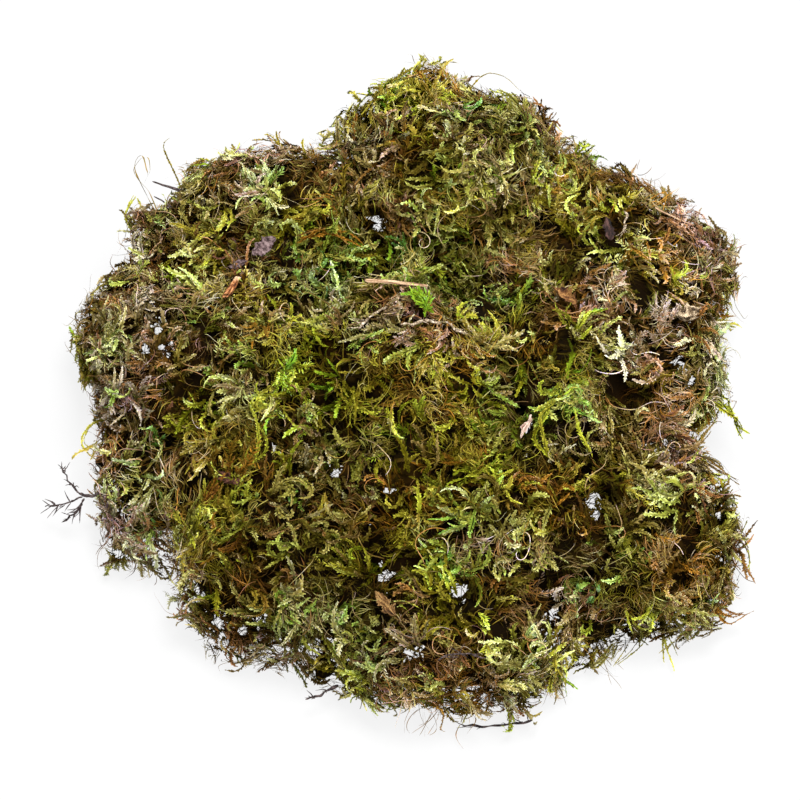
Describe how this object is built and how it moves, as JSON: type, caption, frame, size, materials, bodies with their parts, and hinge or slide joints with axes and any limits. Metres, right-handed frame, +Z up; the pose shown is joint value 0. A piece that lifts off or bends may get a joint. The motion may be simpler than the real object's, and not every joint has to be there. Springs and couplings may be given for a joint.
{
  "type": "moss clump",
  "caption": "Loose clump of dried forest moss, a low heap of leafy tufts with litter caught in it, laid down as filler, ground cover or craft decoration.",
  "frame": {"origin": "middle of the clump's box in plan, at the flat underside that it rests on", "axes": "+X to the right and along the longest side, +Y to the taller back tuft, +Z up"},
  "size_m": [0.2258, 0.2188, 0.0756],
  "materials": {
    "moss": "matt dried moss: lime and olive shoots over brown, finely leafy stems",
    "dead_twig": "dark weathered bark, matt",
    "straw": "dry tan grass stalk, slightly satin, with lengthwise fibres",
    "pale_root": "bleached grey-tan root, matt, with lengthwise cracks",
    "purple_bark": "purplish brown bark skin, matt and pitted",
    "red_leaf": "red-brown dead leaf, matt, with fine veins",
    "orange_wood": "orange-brown split wood with pale fibres",
    "pale_wood": "pale tan wood chip with fine grain",
    "orange_leaf": "orange-brown curled dry leaf",
    "cone_scale": "brown scale with dark and tan stripes",
    "tan_leaf": "pale tan crumpled dry leaf"
  },
  "bodies": {
    "root": {"tuft_back": "moss", "tuft_middle": "moss", "tuft_back_left": "moss", "tuft_back_right": "moss", "tuft_left": "moss", "tuft_right": "moss", "tuft_middle_left": "moss", "tuft_middle_right": "moss", "tuft_front_middle": "moss", "tuft_front_left": "moss", "tuft_left_corner": "moss", "tuft_front_right": "moss", "tuft_front": "moss", "straw_stalk": "straw", "straw_long": "straw", "straw_short": "straw", "root_pale": "pale_root", "root_fork_long": "pale_root", "root_fork_short": "pale_root", "twig_grey": "pale_root", "stem_dark_curved": "dead_twig", "twiglet_stem": "dead_twig", "twiglet_branch_up": "dead_twig", "twiglet_branch_out": "dead_twig", "twiglet_branch_down": "dead_twig", "needle_thick": "dead_twig", "needle_thin": "dead_twig", "twig_dark": "dead_twig", "stick_dark": "dead_twig", "bark_flake_purple": "purple_bark", "bark_scrap_purple": "purple_bark", "bark_piece_brown": "purple_bark", "leaf_scrap_brown": "red_leaf", "splinter_orange": "orange_wood", "wood_chip_pale": "pale_wood", "leaf_orange_curled": "orange_leaf", "leaf_red_brown": "red_leaf", "cone_scale": "cone_scale", "leaf_tan_crumpled": "tan_leaf"}
  },
  "joints": []
}
